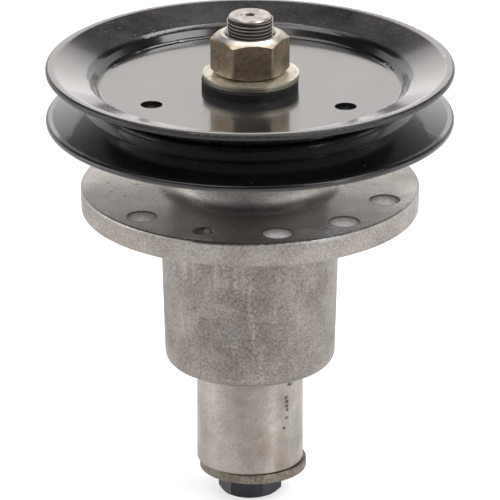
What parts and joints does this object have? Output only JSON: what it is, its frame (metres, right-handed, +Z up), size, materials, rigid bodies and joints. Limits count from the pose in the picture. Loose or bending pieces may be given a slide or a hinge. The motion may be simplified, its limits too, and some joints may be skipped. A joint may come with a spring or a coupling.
{
  "type": "mower deck spindle",
  "caption": "Mower deck spindle: flanged cast housing with a shaft in sealed bearings, a V-belt pulley and nut on top, and a blade spacer, washer and bolt below.",
  "frame": {"origin": "centre of the flange's lower face, which meets the deck, on the shaft's axis", "axes": "+Z up the shaft towards the pulley, +X through a bolt hole of the six hole circle, which is at the right in the picture"},
  "size_m": [0.1712, 0.1712, 0.2138],
  "materials": {
    "cast_aluminium": "as cast, dull and stained",
    "black_paint": "gloss black paint",
    "nut_zinc": "olive yellow zinc plate",
    "washer_zinc": "pale yellow zinc plate",
    "shaft_steel": "turned, bare",
    "spacer_steel": "turned, dull, pitted",
    "blade_washer_zinc": "dull olive zinc plate",
    "black_oxide": "black oxide, dull",
    "bearing_steel": "ground and polished",
    "seal_rubber": "moulded, matt",
    "cage_nylon": "moulded nylon"
  },
  "bodies": {
    "housing": {"spindle_housing": "cast_aluminium", "upper_lip_seal": "seal_rubber", "lower_lip_seal": "seal_rubber", "upper_bearing_outer_ring": "bearing_steel", "upper_bearing_top_seal": "seal_rubber", "upper_bearing_bottom_seal": "seal_rubber", "lower_bearing_outer_ring": "bearing_steel", "lower_bearing_top_seal": "seal_rubber", "lower_bearing_bottom_seal": "seal_rubber"},
    "rotor": {"spindle_shaft": "shaft_steel", "bearing_spacer": "spacer_steel", "pulley_spacer": "spacer_steel", "pulley_hub": "black_paint", "pulley_upper_disc": "black_paint", "pulley_lower_disc": "black_paint", "pulley_key": "shaft_steel", "top_washer": "washer_zinc", "top_nut": "nut_zinc", "blade_spacer": "spacer_steel", "blade_washer": "blade_washer_zinc", "blade_bolt": "black_oxide", "upper_bearing_inner_ring": "bearing_steel", "lower_bearing_inner_ring": "bearing_steel"},
    "upper_ball_set": {"upper_bearing_balls": "bearing_steel", "upper_bearing_cage": "cage_nylon"},
    "lower_ball_set": {"lower_bearing_balls": "bearing_steel", "lower_bearing_cage": "cage_nylon"}
  },
  "joints": [
    {"name": "spindle_spin", "type": "hinge", "parent": "housing", "child": "rotor", "pos_m": [0, 0, 0], "axis": [0, 0, 1], "continuous": true},
    {"name": "upper_ball_orbit", "type": "hinge", "parent": "housing", "child": "upper_ball_set", "pos_m": [0, 0, 0.021], "axis": [0, 0, 1], "continuous": true},
    {"name": "lower_ball_orbit", "type": "hinge", "parent": "housing", "child": "lower_ball_set", "pos_m": [0, 0, -0.0531], "axis": [0, 0, 1], "continuous": true}
  ],
  "couplings": [
    {"joint": "upper_ball_orbit", "follows": "spindle_spin", "ratio": 0.39691},
    {"joint": "lower_ball_orbit", "follows": "spindle_spin", "ratio": 0.39691}
  ]
}
